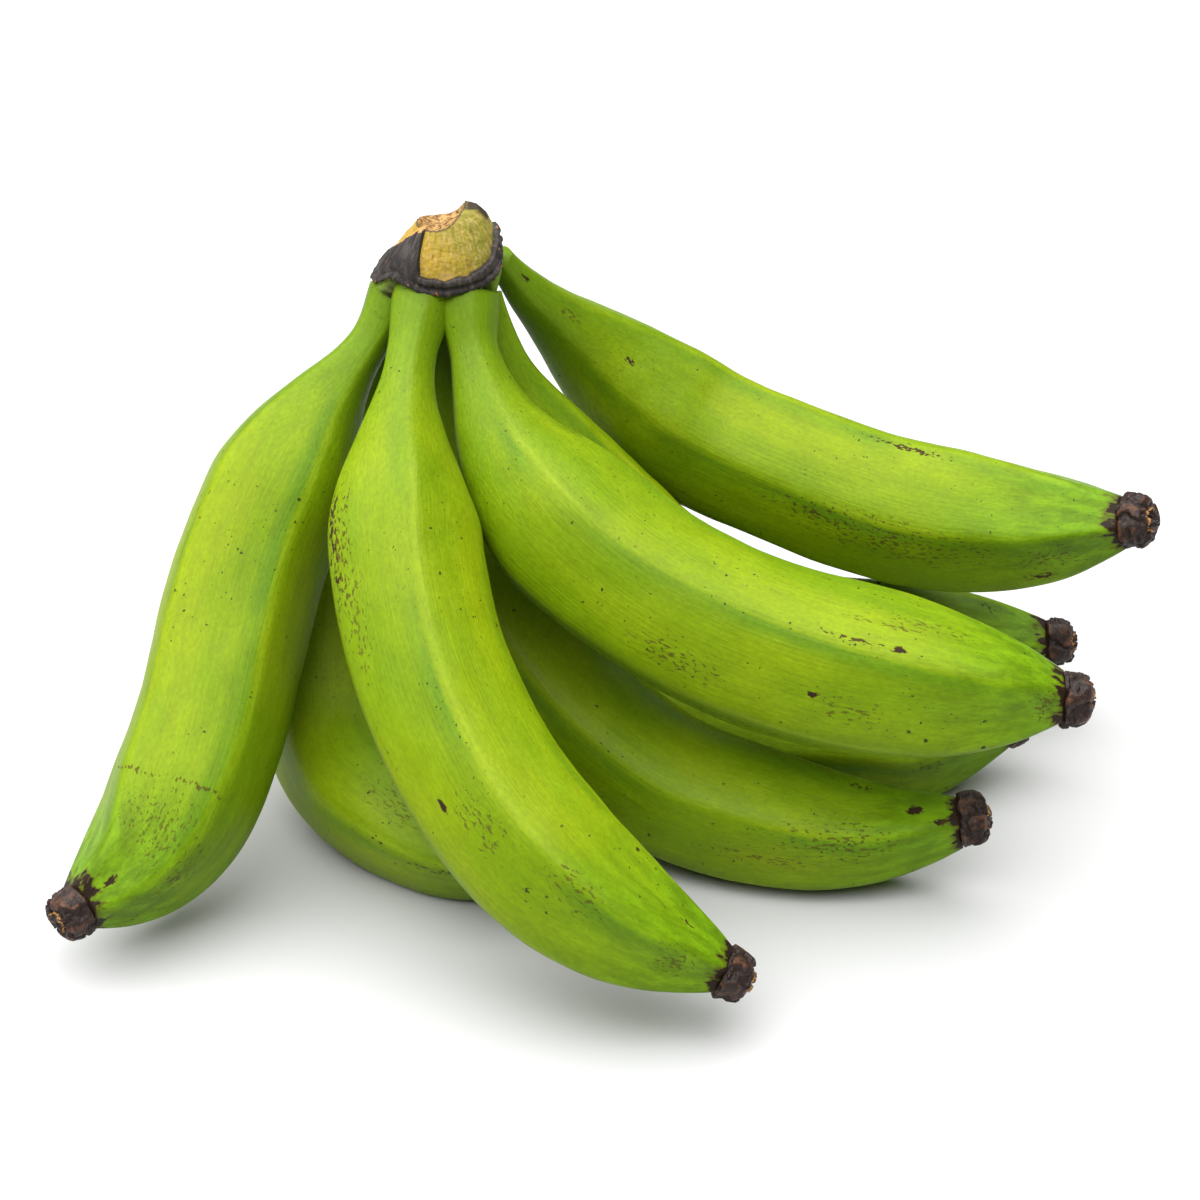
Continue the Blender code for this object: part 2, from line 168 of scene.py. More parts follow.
# The dried folds, as cells of the crease pattern in a radius and in a row, where each axis's bend is
# read from the noise, and a crease's width in cells.
FOLDS_ACROSS = 0.95
FOLDS_ALONG = 0.16
FOLD_BENDS = (Vector((9.0, 0.0, 0.0)), Vector((0.0, 23.0, 0.0)), Vector((0.0, 0.0, 41.0)))
CREASE_WIDTH = 0.26
BLOSSOM_COLUMNS = 96
BLOSSOM_RINGS = 72

# The crown's cushion, row by row: height, and its reach to the left, right, front and back.
CROWN_ROWS = (
    (146, 14, 12, 8, 9),
    (151, 19, 15, 12, 13),
    (157, 22, 17, 15, 15),
    (163, 18, 18, 15.5, 14),
    (169, 14, 16.5, 14, 12),
    (174, 9.5, 15.5, 11.5, 10),
    (178.5, 6.5, 13.5, 8.5, 8),
    (181, 4, 11, 6, 6),
)
CROWN_SQUARENESS = 2.3
# The share of the walk up the uncut crown's outline that its side takes.
SIDE_SHARE = 0.8
CROWN_COLUMNS = 192
CROWN_SIDE_ROWS = 80
CROWN_CUT_ROWS = 40
SCOOP_CENTRE = Vector((-4.0, 3.0, 187.0))
SCOOP_RADII = Vector((10.5, 19.0, 14.0))
SCOOP_TILT = math.radians(-24.0)
CUT_SEARCH_START = 0.5
CUT_SEARCH_END = 0.97
CUT_SEARCH_STEP = 0.0025

# The middle of the cut's rows, from the scoop's centre.
CUT_MIDDLE = Vector((4.0, -4.0, 0.0))
CUT_ROUGHNESS = 1.3
# The dark dried cap on the right of the top: where it begins, and how softly.
CAP_START = Vector((6.0, -3.5, 176.5))
CAP_EASE = Vector((2.0, 2.0, 1.6))

# The hollow under the flap, between the necks, which is only darkened in colour: painted shade.
SHADED_HOLLOW_CENTRE = Vector((-15.0, -11.0, 156.0))
SHADED_HOLLOW_REACH = 9.0

# Where two necks meet below the scar, in degrees round the crown, and how far each crease reaches.
NECK_CREASES = (216.0, 278.0, 326.0)
CREASE_REACH = 13.0
CREASE_DEPTH = 2.2

# The dried bract scar round the crown's foot, with a tall flap on its left.
# Each row gives an angle in degrees, from the right by the back, and the heights of both edges.
SCAR_EDGES = (
    (0, 169.0, 175.0),
    (45, 166.0, 171.5),
    (100, 162.0, 167.0),
    (150, 158.0, 164.0),
    (180, 157.0, 167.0),
    (200, 159.0, 172.0),
    (215, 162.0, 175.5),
    (228, 161.0, 177.0),
    (238, 160.0, 177.0),
    (245, 159.0, 164.3),
    (272, 157.5, 163.3),
    (300, 159.0, 164.7),
    (324, 161.0, 167.0),
    (342, 164.5, 171.0),
    (360, 169.0, 175.0),
)
FLAP_START = 178.0
FLAP_END = 244.0
FLAP_EASE = 12.0
RIM_WIDTH = 2.4
SCAR_PROUD = 2.0
SCAR_SUNK = 1.5
SCAR_CREASES = 0.6
# The groove between its two lips: height over the lower edge, width and depth.
GROOVE_HEIGHT = 2.4
GROOVE_WIDTH = 0.7
GROOVE_DEPTH = 1.3
# The circle that is spun into the scar's band has a radius of 1 and stands this far from the axis.
SPIN_RADIUS = 2.0
SCAR_COLUMNS = 320
SCAR_ROWS = 56

# Half the studio floor's width and its drop below the bunch, in metres.
FLOOR_HALF = 6.0
FLOOR_DROP = 0.0002


def linear(hex_colour):
    """An sRGB hex colour as linear red, green, blue and alpha."""
    channels = [int(hex_colour[start:start + 2], 16) / 255.0 for start in (1, 3, 5)]
    return tuple(c / 12.92 if c <= 0.04045 else ((c + 0.055) / 1.055) ** 2.4 for c in channels) + (1.0,)


def colour_property(name, description, hex_colour):
    return bpy.props.FloatVectorProperty(
        name=name, description=description, subtype='COLOR', size=4, min=0.0, max=1.0,
        default=linear(hex_colour))


class PlantainSkinSettings(bpy.types.PropertyGroup):
    lit_green: colour_property("Lit green", "Main colour of the flats, on the yellow side", "#788C06")
    deep_green: colour_property("Deep green", "Colour of the greener patches", "#648004")
    neck_green: colour_property("Neck green", "Cooler green of the necks", "#5C7A0C")
    ridge_green: colour_property("Ridge green", "Pale colour along the ridges", "#849620")
    flank_green: colour_property("Flank green", "Dull, bluish green beside the ridges", "#52740E")
    tip_green: colour_property("Tip green", "Deep green near the tips", "#5A7E06")
    rub_brown: colour_property("Rub brown", "Rubbed and scratched skin", "#463410")
    speck_brown: colour_property("Speck brown", "Dried specks, gashes and the tip's torn edge", "#251A10")
    ridge_height: bpy.props.FloatProperty(
        name="Ridge height", description="How much further the ridges stand out than the flats",
        default=0.085, min=0.0, max=0.2, subtype='FACTOR')
    unevenness: bpy.props.FloatProperty(
        name="Unevenness", description="Height of the skin's soft lumps", default=0.0006,
        min=0.0, max=0.002, unit='LENGTH')
    fibre_width: bpy.props.FloatProperty(
        name="Fibre width", description="Width of the fine lengthwise fibres", default=0.0008,
        min=0.0002, max=0.005, unit='LENGTH')


class PlantainEndSettings(bpy.types.PropertyGroup):
    bark_brown: colour_property("Bark brown", "Worn lips of the dried blossom end", "#5E3A24")
    bark_black: colour_property("Bark black", "Main colour of the blossom end", "#22140E")
    ring_tan: colour_property("Ring tan", "Broken ring round the nub", "#B4803E")
    fold_depth: bpy.props.FloatProperty(
        name="Fold depth", description="Depth of the creases between the dried folds", default=0.0011,
        min=0.0, max=0.003, unit='LENGTH')


class PlantainCrownSettings(bpy.types.PropertyGroup):
    flesh_green: colour_property("Flesh green", "Right side of the crown's face", "#827E24")
    flesh_yellow: colour_property("Flesh yellow", "Lower left of the crown's face", "#A88A26")
    flesh_tan: colour_property("Flesh tan", "Dry fibres on the crown's face", "#B09458")
    cut_cream: colour_property("Cut cream", "Dry fibres of the knife cut", "#AC8A50")
    cut_brown: colour_property("Cut brown", "Pits between the cut fibres", "#6A4018")
    root_green: colour_property("Root green", "Green tissue below the scar", "#708C1C")
    # This brown is the dried cap and the cut's dark lip, and also painted shade in the hollow and the creases
    # between the necks.
    dried_and_shade_brown: colour_property("Old brown", "Dried hollow between the necks", "#2E2110")
    scar_black: colour_property("Scar black", "Leathery scar", "#231D1B")
    # The scar's grey is wear on the creases, and also painted sheen in place of the glints on its lips.
    scar_grey_and_sheen: colour_property("Scar grey", "Worn creases of the scar", "#4C423B")
    scar_tan: colour_property("Scar tan", "Dry upper edge of the flap", "#B58A48")
    scar_orange: colour_property("Scar orange", "Small torn spots in the scar", "#A86428")


class PlantainStudioSettings(bpy.types.PropertyGroup):
    camera_place: bpy.props.FloatVectorProperty(
        name="Camera place", description="Where the camera stands", subtype='XYZ', unit='LENGTH',
        default=(-0.0070, -0.7448, 0.5103))
    camera_pitch: bpy.props.FloatProperty(
        name="Camera pitch", description="How far the camera looks down", subtype='ANGLE',
        default=math.radians(30.0))
    camera_lens: bpy.props.FloatProperty(
        name="Lens", description="Focal length on a 36 mm sensor, in millimetres", default=85.0)
    floor_white: colour_property("Floor white", "Matte studio floor", "#BCBCBC")
    sky_strength: bpy.props.FloatProperty(
        name="Sky strength", description="Brightness of the white surround", default=0.05, min=0.0)
    key_strength: bpy.props.FloatProperty(
        name="Key strength", description="Strength of the broad light above", default=8.3, min=0.0)
    key_spread: bpy.props.FloatProperty(
        name="Key spread", description="How broad the light above is", subtype='ANGLE',
        default=math.radians(100.0))
    key_from: bpy.props.FloatVectorProperty(
        name="Key direction", description="Where the light above comes from", subtype='DIRECTION',
        default=(-0.20, -0.04, 1.0))


def ease(share):
    """Rise smoothly from 0 to 1."""
    share = min(max(share, 0.0), 1.0)
    return share * share * (3.0 - 2.0 * share)


def between(low, high, share):
    """The value at a share of the way from low to high."""
    return low + (high - low) * share


def place_in_bunch(point):
    """From millimetres in the hand frame to metres about the bunch's origin."""
    return (point + ORIGIN_SHIFT) * MM


class Fruit:
    """One plantain: its centre line, its section, and the way its ridges wander."""

    def __init__(self, number, line, belly, neck, neck_end, full, tip, tip_from, ridge_turn):
        self.number = number
        self.belly = belly
        self.neck = neck
        self.neck_end = neck_end
        self.full = full
        self.tip = tip
        self.tip_from = tip_from
        self.ridge_turn = math.radians(ridge_turn)
        points = [Vector(point) for point in line]
        stride = (len(points) - 1) / LINE_SAMPLES
        self.samples = [self.curve_point(points, step * stride) for step in range(LINE_SAMPLES + 1)]
        for _ in range(LINE_SMOOTHING):
            inner = zip(self.samples, self.samples[1:], self.samples[2:])
            self.samples[1:-1] = [(before + 2 * here + after) / 4 for before, here, after in inner]
        self.rings = {}
        self.marks = [0.0]
        for before, after in zip(self.samples, self.samples[1:]):
            self.marks.append(self.marks[-1] + (after - before).length)
        self.length = self.marks[-1]
        self.end = 1.0 - (BLOSSOM_LENGTH + GAP) / self.length
        self.blossom_start = 1.0 - BLOSSOM_LENGTH / self.length

    @staticmethod
    def curve_point(points, walk):
        """A point of the smooth curve that runs through the points. The walk counts them from zero."""
        index = min(int(walk), len(points) - 2)
        start, stop = points[index], points[index + 1]
        before = points[index - 1] if index > 0 else 2 * start - stop
        after = points[index + 2] if index + 2 < len(points) else 2 * stop - start
        u = walk - index
        bend = (2 * before - 5 * start + 4 * stop - after) * u**2
        swing = (3 * start - before - 3 * stop + after) * u**3
        return 0.5 * (2 * start + (stop - before) * u + bend + swing)

    def radius(self, share):
        """The section's radius at a share of the length, over its ridges."""
        swell = ease((share - self.neck_end) / (self.full - self.neck_end))
        narrowing = (share - self.tip_from) / (self.blossom_start - self.tip_from)
        narrowing = min(max(narrowing, 0.0), 1.0) ** TIP_POWER
        return between(self.belly * between(self.neck, 1.0, swell), self.tip, narrowing)

    def centre(self, share):
        """The centre line's point at a share of the length, lifted where it reaches the floor."""
        goal = share * self.length
        index = sum(1 for mark in self.marks[1:-1] if mark <= goal)
        span = self.marks[index + 1] - self.marks[index]
        point = self.samples[index].lerp(self.samples[index + 1], (goal - self.marks[index]) / span)
        lowest = self.radius(share) * (1.0 - LOWEST_FLAT * FLAT_DEPTH) - PRESSED_FLAT
        height = (point.z - lowest) / FLOOR_EASE
        lift = math.log1p(math.exp(-abs(height))) + max(height, 0.0)
        return Vector((point.x, point.y, lowest + FLOOR_EASE * lift))

    def ring(self, share):
        """Centre, direction, facing side, cross side and radius at a share of the length."""
        key = round(share, 5)
        if key not in self.rings:
            along = (self.centre(share + DIRECTION_STEP) - self.centre(share - DIRECTION_STEP)).normalized()
            face = (FACING - along * FACING.dot(along)).normalized()
            self.rings[key] = (self.centre(share), along, face, along.cross(face), self.radius(share))
        return self.rings[key]

    def wander(self, ridge, share):
        """How far a ridge strays from its place, in radians, and its strength there."""
        seed = 11.3 * self.number + 3.7 * (ridge % RIDGE_COUNT)
        stray = RIDGE_STRAY * noise.noise(Vector((seed, 2.6 * share, 0.0))) * ease(share / 0.2)
        strength = 1.0 + RIDGE_VARIATION * noise.noise(Vector((seed, 4.0 * share, 5.0)))
        return stray, strength

    def skin(self, share, turn, ridge_height, unevenness):
        """A point of the skin, its straightened place, and its distance from the nearest ridge in mm."""
        centre, along, face, side, radius = self.ring(share)
        ridge, across = divmod(turn * RIDGE_COUNT, 1.0)
        first_stray, first_strength = self.wander(ridge, share)
        next_stray, next_strength = self.wander(ridge + 1, share)
        angle = self.ridge_turn + math.tau * turn + between(first_stray, next_stray, across)
        strength = between(first_strength, next_strength, across)
        off_ridge = 1.0 - abs(2.0 * across - 1.0)
        crest = RIDGE_ROUNDNESS
        soft = (math.hypot(off_ridge, crest) - crest) / (math.hypot(1.0, crest) - crest)
        neck = between(NECK_RIDGES, 1.0, ease(share / 0.3))
        gathered = 1.0 + TIP_GATHER * ease((share - self.tip_from) / (self.end - self.tip_from))
        hollow = ridge_height * neck * gathered * strength * (1.0 - (1.0 - soft) ** 2)
        straight = Vector((radius * math.cos(angle), radius * math.sin(angle), share * self.length))
        seed = Vector((31.0 * self.number, 0.0, 0.0))
        lump = noise.noise(straight / LARGE_LUMPS + seed)
        lump += SMALL_LUMP_SHARE * noise.noise(straight / SMALL_LUMPS + seed)
        shoulder = SHOULDERS[self.number] * (1.0 - ease(straight.z / SHOULDER_LENGTH))
        reach = radius * (1.0 - hollow) + unevenness / MM * lump * ease(share / 0.15) + shoulder
        point = centre + reach * (math.cos(angle) * face + math.sin(angle) * side)
        point.z = max(point.z, 0.0)
        return point, straight, off_ridge * math.pi * radius / RIDGE_COUNT


def upright_grid(columns, rows):
    """A capped unit cylinder standing on z = -0.5, cut into rows."""
    build = bmesh.new()
    bmesh.ops.create_cone(
        build, cap_ends=True, cap_tris=False, segments=columns, radius1=1.0, radius2=1.0, depth=1.0)
    uprights = [edge for edge in build.edges if abs(edge.verts[0].co.z - edge.verts[1].co.z) > 0.5]
    bmesh.ops.subdivide_edges(build, edges=uprights, cuts=rows - 1)
    return build


def finish_piece(build, name, material, node):
    """Turn a bmesh into a smooth-shaded piece that stands for a CAD node."""
    mesh = bpy.data.meshes.new(name)
    build.to_mesh(mesh)
    build.free()
    mesh.materials.append(material)
    mesh.shade_smooth()
    piece = bpy.data.objects.new(name, mesh)
    bpy.context.scene.collection.objects.link(piece)
    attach(piece, "root")
    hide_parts(node)
    return piece


def add_node(tree, kind, inputs, **settings):
    """Add a node and give its first live output. Inputs take numbers, colours or another output."""
    node = tree.nodes.new(kind)
    for key, value in settings.items():
        setattr(node, key, value)
    for key, value in inputs.items():
        if isinstance(value, bpy.types.NodeSocket):
            tree.links.new(value, node.inputs[key])
        else:
            node.inputs[key].default_value = value
    return next(socket for socket in node.outputs if socket.enabled)


def new_material(name):
    """An empty material, its shader, and the function that adds its nodes."""
    material = bpy.data.materials.new(name)
    material.use_nodes = True
    shader = material.node_tree.nodes["Principled BSDF"]
    return material, shader, functools.partial(add_node, material.node_tree)


def grains(size):
    """How often a pattern repeats in a millimetre, from its grain's size in each direction."""
    return tuple(1.0 / side for side in size)


def make_skin_material(name, settings, number):
    """Plantain peel: waxy, satin and green, with lengthwise fibres, pale ridges, specks and scuffs."""
    material, shader, add = new_material(name)
    straight = add('ShaderNodeAttribute', {}, attribute_name="straight").node.outputs['Vector']
    guide = add('ShaderNodeAttribute', {}, attribute_name="guide").node.outputs['Vector']
    beside = add('ShaderNodeSeparateXYZ', {0: guide})
    ridge, tip = beside.node.outputs[1], beside.node.outputs[2]
    place = add('ShaderNodeVectorMath', {0: straight, 1: (97.0 * number, 0.0, 0.0)}, operation='ADD')

    # Noise with grains of a given size in millimetres: round the fruit twice, then along it.
    noises = {}
    fibre_width = settings.fibre_width / MM
    for key, size, detail in (
            ('broad', (24, 24, 60), 2.0), ('mottle', (5, 5, 9), 4.0), ('pores', (1.1, 1.1, 1.7), 3.0),
            ('fibre', (fibre_width, fibre_width, 26), 3.0), ('band', (3.6, 3.6, 80), 2.0),
            ('stretch', (14, 14, 45), 2.0), ('crowd', (18, 18, 30), 2.0), ('ragged', (0.9, 0.9, 1.9), 5.0),
            ('spike', (2.6, 2.6, 60), 2.0)):
        scaled = add('ShaderNodeVectorMath', {0: place, 1: grains(size)}, operation='MULTIPLY')
        noises[key] = add('ShaderNodeTexNoise', {'Vector': scaled, 'Scale': 1.0, 'Detail': detail})

    # Greens: patches, a duller band on one side of each ridge, pale crests, cooler necks.
    patch = add('ShaderNodeMapRange', {0: noises['broad'], 1: 0.30, 2: 0.70},
                interpolation_type='SMOOTHSTEP')
    green = add('ShaderNodeMix', {0: patch, 6: settings.deep_green, 7: settings.lit_green}, data_type='RGBA')
    near = add('ShaderNodeMapRange', {0: ridge, 1: 0.8, 2: 2.6}, interpolation_type='SMOOTHSTEP')
    far = add('ShaderNodeMapRange', {0: ridge, 1: 9.0, 2: 3.0}, interpolation_type='SMOOTHSTEP')
    one_side = add('ShaderNodeMapRange', {0: beside, 1: -0.1, 2: 0.5}, interpolation_type='SMOOTHSTEP')
    faded = add('ShaderNodeMapRange', {0: noises['stretch'], 1: 0.38, 2: 0.62, 3: 0.1, 4: 0.85})
    flank = add('ShaderNodeMath', {0: near, 1: far}, operation='MULTIPLY')
    flank = add('ShaderNodeMath', {0: flank, 1: one_side}, operation='MULTIPLY')
    flank = add('ShaderNodeMath', {0: flank, 1: faded}, operation='MULTIPLY')
    green = add('ShaderNodeMix', {0: flank, 6: green, 7: settings.flank_green}, data_type='RGBA')
    crest = add('ShaderNodeMapRange', {0: ridge, 1: 1.7, 2: 0.2}, interpolation_type='SMOOTHSTEP')
    worn = add('ShaderNodeMapRange', {0: noises['band'], 1: 0.38, 2: 0.66, 3: 0.0, 4: 0.4})
    crest = add('ShaderNodeMath', {0: crest, 1: worn}, operation='MULTIPLY')
    green = add('ShaderNodeMix', {0: crest, 6: green, 7: settings.ridge_green}, data_type='RGBA')
    along = add('ShaderNodeSeparateXYZ', {0: straight}).node.outputs[2]
    neck = add('ShaderNodeMapRange', {0: along, 1: 75.0, 2: 12.0, 3: 0.0, 4: 0.8},
               interpolation_type='SMOOTHSTEP')
    green = add('ShaderNodeMix', {0: neck, 6: green, 7: settings.neck_green}, data_type='RGBA')

    tip_share = add('ShaderNodeMapRange', {0: tip, 1: 62.0, 2: 3.0, 3: 0.0, 4: 0.9},
                    interpolation_type='SMOOTHSTEP')
    green = add('ShaderNodeMix', {0: tip_share, 6: green, 7: settings.tip_green}, data_type='RGBA')

    # Light and dark: each noise brightens or darkens the green a little.
    shade = 1.0
    for key, strength in (('fibre', 0.13), ('band', 0.10), ('mottle', 0.16), ('pores', 0.24)):
        swing = add('ShaderNodeMapRange', {0: noises[key], 1: 0.0, 2: 1.0, 3: 1 - strength, 4: 1 + strength})
        shade = add('ShaderNodeMath', {0: shade, 1: swing}, operation='MULTIPLY')
    streak = add('ShaderNodeMapRange', {0: noises['band'], 1: 0.38, 2: 0.62, 3: 0.78, 4: 1.16})
    streak = add('ShaderNodeMix', {0: tip_share, 2: 1.0, 3: streak})
    shade = add('ShaderNodeMath', {0: shade, 1: streak}, operation='MULTIPLY')
    colour = add('ShaderNodeVectorMath', {0: green, 'Scale': shade}, operation='SCALE')

    # Specks: dots of uneven size and shape, in crowds.
    bent = add('ShaderNodeTexNoise', {'Vector': place, 'Scale': 0.9, 'Detail': 2.0}).node.outputs['Color']
    bent = add('ShaderNodeVectorMath', {0: bent, 1: (1.6, 1.6, 1.6), 2: place}, operation='MULTIPLY_ADD')
    specks = 0.0
    for spread, widest, rare, crowding in SPECK_SIZES:
        scaled = add('ShaderNodeVectorMath', {0: bent, 'Scale': 1.0 / spread}, operation='SCALE')
        cells = add('ShaderNodeTexVoronoi', {'Vector': scaled, 'Scale': 1.0})
        pick = add('ShaderNodeSeparateColor', {0: cells.node.outputs['Color']})
        size = add('ShaderNodeMapRange', {0: pick, 1: rare, 2: 1.0, 3: 0.0, 4: widest / spread})
        dot = add('ShaderNodeMath', {0: size, 1: cells}, operation='SUBTRACT')
        dot = add('ShaderNodeMapRange', {0: dot, 1: 0.0, 2: 0.35 * widest / spread},
                  interpolation_type='SMOOTHSTEP')
        crowd = add('ShaderNodeMapRange', {0: noises['crowd'], 1: crowding, 2: crowding + 0.07})
        dot = add('ShaderNodeMath', {0: dot, 1: crowd}, operation='MULTIPLY')
        specks = add('ShaderNodeMath', {0: specks, 1: dot}, operation='MAXIMUM')

    # Scuffs and gashes: ellipses on the skin, broken up by lengthwise streaks.
    scuff = 0.0
    fruit = FRUIT_MODELS[number]
    for distance_along, degrees, length, width, broken, dark in BLEMISHES[number]:
        angle = math.radians(degrees)
        radius = fruit.radius(distance_along / fruit.length)
        centre = (radius * math.cos(angle), radius * math.sin(angle), distance_along)
        offset = add('ShaderNodeVectorMath', {0: straight, 1: centre}, operation='SUBTRACT')
        offset = add('ShaderNodeVectorMath', {0: offset, 1: grains((width / 2, width / 2, length / 2))},
                     operation='MULTIPLY')
        reach = add('ShaderNodeVectorMath', {0: offset}, operation='LENGTH').node.outputs['Value']
        torn = add('ShaderNodeMapRange', {0: noises['ragged'], 1: 0.36, 2: 0.64, 3: broken, 4: 0.0})
        reach = add('ShaderNodeMath', {0: reach, 1: torn}, operation='ADD')
        patch = add('ShaderNodeMapRange', {0: reach, 1: 1.10, 2: 0.80, 3: 0.0, 4: dark},
                    interpolation_type='SMOOTHSTEP')
        scuff = add('ShaderNodeMath', {0: scuff, 1: patch}, operation='MAXIMUM')
    colour = add('ShaderNodeMix', {0: scuff, 6: colour, 7: settings.rub_brown}, data_type='RGBA')
    deep = add('ShaderNodeMapRange', {0: scuff, 1: 0.82, 2: 1.0, 3: 0.0, 4: 0.85})
    colour = add('ShaderNodeMix', {0: deep, 6: colour, 7: settings.speck_brown}, data_type='RGBA')
    specks_seen = add('ShaderNodeMath', {0: specks, 1: 0.9}, operation='MULTIPLY')
    colour = add('ShaderNodeMix', {0: specks_seen, 6: colour, 7: settings.speck_brown}, data_type='RGBA')

    # The torn dark edge at the tip, with spikes that run up the skin.
    spike = add('ShaderNodeMapRange', {0: noises['spike'], 1: 0.42, 2: 0.72, 3: 0.5, 4: 5.5})
    edge = add('ShaderNodeMath', {0: tip, 1: spike}, operation='SUBTRACT')
    browned = add('ShaderNodeMapRange', {0: edge, 1: 2.6, 2: -0.4, 3: 0.0, 4: 0.75},
                  interpolation_type='SMOOTHSTEP')
    colour = add('ShaderNodeMix', {0: browned, 6: colour, 7: settings.rub_brown}, data_type='RGBA')
    blackened = add('ShaderNodeMapRange', {0: edge, 1: 0.3, 2: -0.3}, interpolation_type='SMOOTHSTEP')
    colour = add('ShaderNodeMix', {0: blackened, 6: colour, 7: settings.speck_brown}, data_type='RGBA')

    rough = add('ShaderNodeMapRange', {0: noises['mottle'], 1: 0.3, 2: 0.7, 3: 0.40, 4: 0.50})
    rough = add('ShaderNodeMath', {0: scuff, 1: 0.2, 2: rough}, operation='MULTIPLY_ADD')
    height = add('ShaderNodeMath', {0: noises['mottle'], 1: 0.9, 2: noises['fibre']},
                 operation='MULTIPLY_ADD')
    height = add('ShaderNodeMath', {0: noises['pores'], 1: 0.5, 2: height}, operation='MULTIPLY_ADD')
    height = add('ShaderNodeMath', {0: scuff, 1: -0.5, 2: height}, operation='MULTIPLY_ADD')
    bump = add('ShaderNodeBump', {'Height': height, 'Strength': 0.6, 'Distance': 0.25 * MM})
    links = material.node_tree.links
    links.new(colour, shader.inputs['Base Color'])
    links.new(rough, shader.inputs['Roughness'])
    links.new(bump, shader.inputs['Normal'])
    shader.inputs['IOR'].default_value = 1.40
    shader.inputs['Specular IOR Level'].default_value = 0.17
    return material


FRUIT_MODELS = {number: Fruit(number, **values) for number, values in enumerate(FRUITS, start=1)}


class PLANTAINS_OT_skins(bpy.types.Operator):
    """Wrap each fruit in its ridged green skin, from inside the crown to its blossom end"""
    bl_idname = "plantains.skins"
    bl_label = "Fruit skins"

    def execute(self, context):
        settings = context.scene.plantain_skin
        for number, fruit in FRUIT_MODELS.items():
            build = upright_grid(SKIN_COLUMNS, SKIN_RINGS)
            straight_layer = build.verts.layers.float_vector.new("straight")
            guide_layer = build.verts.layers.float_vector.new("guide")
            for vertex in build.verts:
                share = between(SKIN_START, fruit.end, vertex.co.z + 0.5)
                turn = (math.atan2(vertex.co.y, vertex.co.x) / math.tau) % 1.0
                point, straight, ridge = fruit.skin(share, turn, settings.ridge_height, settings.unevenness)
                vertex.co = place_in_bunch(point)
                vertex[straight_layer] = straight
                ridge_side = math.sin(math.tau * turn * RIDGE_COUNT)
                vertex[guide_layer] = Vector((ridge_side, ridge, (fruit.end - share) * fruit.length))
            material = make_skin_material(f"plantain_peel_{number}", settings, number)
            finish_piece(build, f"fruit_skin_{number}", material, f"finger_{number}")
        return {'FINISHED'}


def make_bark_material(settings):
    """Dried blossom tissue: brown-black folds with worn brown lips and a tan ring round the nub."""
    material, shader, add = new_material("dried_blossom_bark")
    place = add('ShaderNodeTexCoord', {}).node.outputs['Object']
    place = add('ShaderNodeVectorMath', {0: place, 'Scale': 1 / MM}, operation='SCALE')
    marks = add('ShaderNodeAttribute', {}, attribute_name="marks").node.outputs['Vector']
    marks = add('ShaderNodeSeparateXYZ', {0: marks}).node.outputs
    patches = add('ShaderNodeTexNoise', {'Vector': place, 'Scale': 1 / 2.2, 'Detail': 4.0})
    fine = add('ShaderNodeTexNoise', {'Vector': place, 'Scale': 1 / 0.6, 'Detail': 3.0})
    lips = add('ShaderNodeMath', {0: marks[1], 1: patches}, operation='MULTIPLY')
    lips = add('ShaderNodeMapRange', {0: lips, 1: 0.30, 2: 0.60}, interpolation_type='SMOOTHSTEP')
    colour = add('ShaderNodeMix', {0: lips, 6: settings.bark_black, 7: settings.bark_brown}, data_type='RGBA')
    tan = add('ShaderNodeMath', {0: marks[0], 1: fine}, operation='MULTIPLY')
    tan = add('ShaderNodeMapRange', {0: tan, 1: 0.36, 2: 0.56}, interpolation_type='SMOOTHSTEP')
    colour = add('ShaderNodeMix', {0: tan, 6: colour, 7: settings.ring_tan}, data_type='RGBA')
    rough = add('ShaderNodeMapRange', {0: fine, 1: 0.35, 2: 0.65, 3: 0.34, 4: 0.62})
    height = add('ShaderNodeMath', {0: fine, 1: 0.6, 2: patches}, operation='MULTIPLY_ADD')
    bump = add('ShaderNodeBump', {'Height': height, 'Strength': 0.9, 'Distance': 0.5 * MM})
    links = material.node_tree.links
    links.new(colour, shader.inputs['Base Color'])
    links.new(rough, shader.inputs['Roughness'])
    links.new(bump, shader.inputs['Normal'])
    shader.inputs['Specular IOR Level'].default_value = 0.3
    return material


